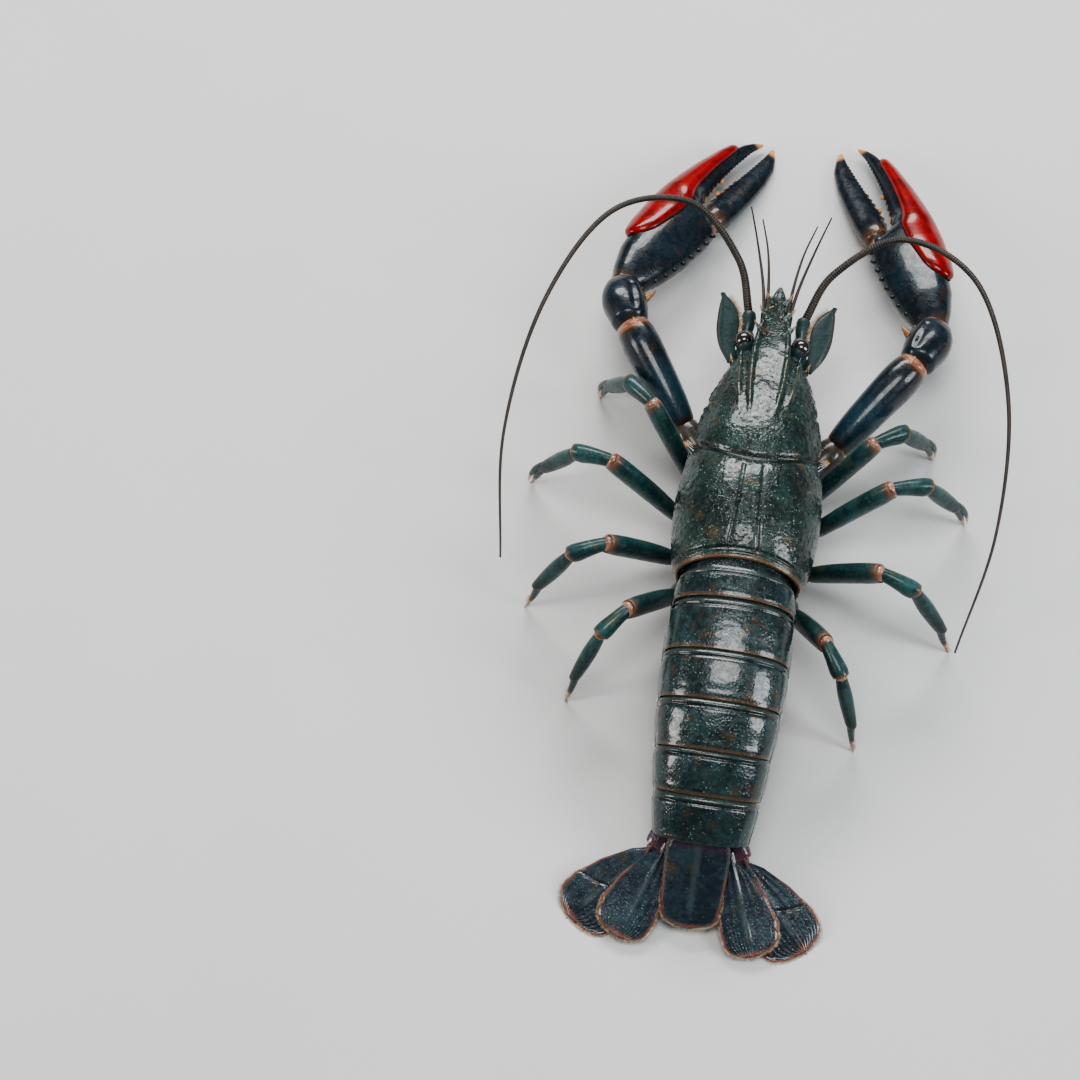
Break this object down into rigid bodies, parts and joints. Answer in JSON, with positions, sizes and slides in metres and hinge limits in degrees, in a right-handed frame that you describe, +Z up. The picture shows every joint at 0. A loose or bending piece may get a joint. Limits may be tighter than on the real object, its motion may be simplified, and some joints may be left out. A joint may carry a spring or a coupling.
{
  "type": "freshwater crayfish",
  "caption": "Life-size male freshwater crayfish standing on its legs, red-patched claws forward, tail fan spread, feelers swept back; a still display model.",
  "frame": {"origin": "bottom centre of the bounding box, on the floor the feet, claw tips and outer tail plates rest on", "axes": "+Z up; -Y towards the head and claws, +Y towards the tail fan; +X is the animal's left"},
  "size_m": [0.1152, 0.211, 0.0426],
  "materials": {
    "shell": "wet-looking dark green shell with pale speckles, satin gloss",
    "tail_shell": "dark blue-green shell with glassy side flaps and brown-pink edges",
    "claw_shell": "blue-black shell with fine bumps and cream spots",
    "claw_red": "soft, uncalcified scarlet patch, satin",
    "leg_shell": "blue-green shell, tan at the root and orange at the joints",
    "under_shell": "tan underside, semi-matt",
    "feeler": "dark ringed feelers",
    "eye": "black eye, high gloss"
  },
  "bodies": {
    "root": {"abdomen_1": "tail_shell", "abdomen_2": "tail_shell", "abdomen_3": "tail_shell", "abdomen_4": "tail_shell", "abdomen_5": "tail_shell", "abdomen_6": "tail_shell", "antenna_far_left": "feeler", "antenna_far_right": "feeler", "antenna_near_left": "feeler", "antenna_near_right": "feeler", "antenna_stem_left": "leg_shell", "antenna_stem_right": "leg_shell", "antennal_scale_left": "leg_shell", "antennal_scale_right": "leg_shell", "antennule_left": "feeler", "antennule_right": "feeler", "carapace": "shell", "claw_arm_left": "claw_shell", "claw_arm_right": "claw_shell", "claw_finger_left": "claw_shell", "claw_finger_right": "claw_shell", "claw_left": "claw_shell", "claw_red_left": "claw_red", "claw_red_right": "claw_red", "claw_right": "claw_shell", "claw_wrist_left": "claw_shell", "claw_wrist_right": "claw_shell", "eye_left": "eye", "eye_right": "eye", "jaws": "under_shell", "leg_2_lower_left": "leg_shell", "leg_2_lower_right": "leg_shell", "leg_2_upper_left": "leg_shell", "leg_2_upper_right": "leg_shell", "leg_3_lower_left": "leg_shell", "leg_3_lower_right": "leg_shell", "leg_3_upper_left": "leg_shell", "leg_3_upper_right": "leg_shell", "leg_4_lower_left": "leg_shell", "leg_4_lower_right": "leg_shell", "leg_4_upper_left": "leg_shell", "leg_4_upper_right": "leg_shell", "leg_5_lower_left": "leg_shell", "leg_5_lower_right": "leg_shell", "leg_5_upper_left": "leg_shell", "leg_5_upper_right": "leg_shell", "maxilliped_left": "leg_shell", "maxilliped_right": "leg_shell", "sternum": "under_shell", "tail_base_left": "tail_shell", "tail_base_right": "tail_shell", "tail_inner_left": "tail_shell", "tail_inner_right": "tail_shell", "tail_outer_left": "tail_shell", "tail_outer_right": "tail_shell", "telson": "tail_shell"}
  },
  "joints": []
}
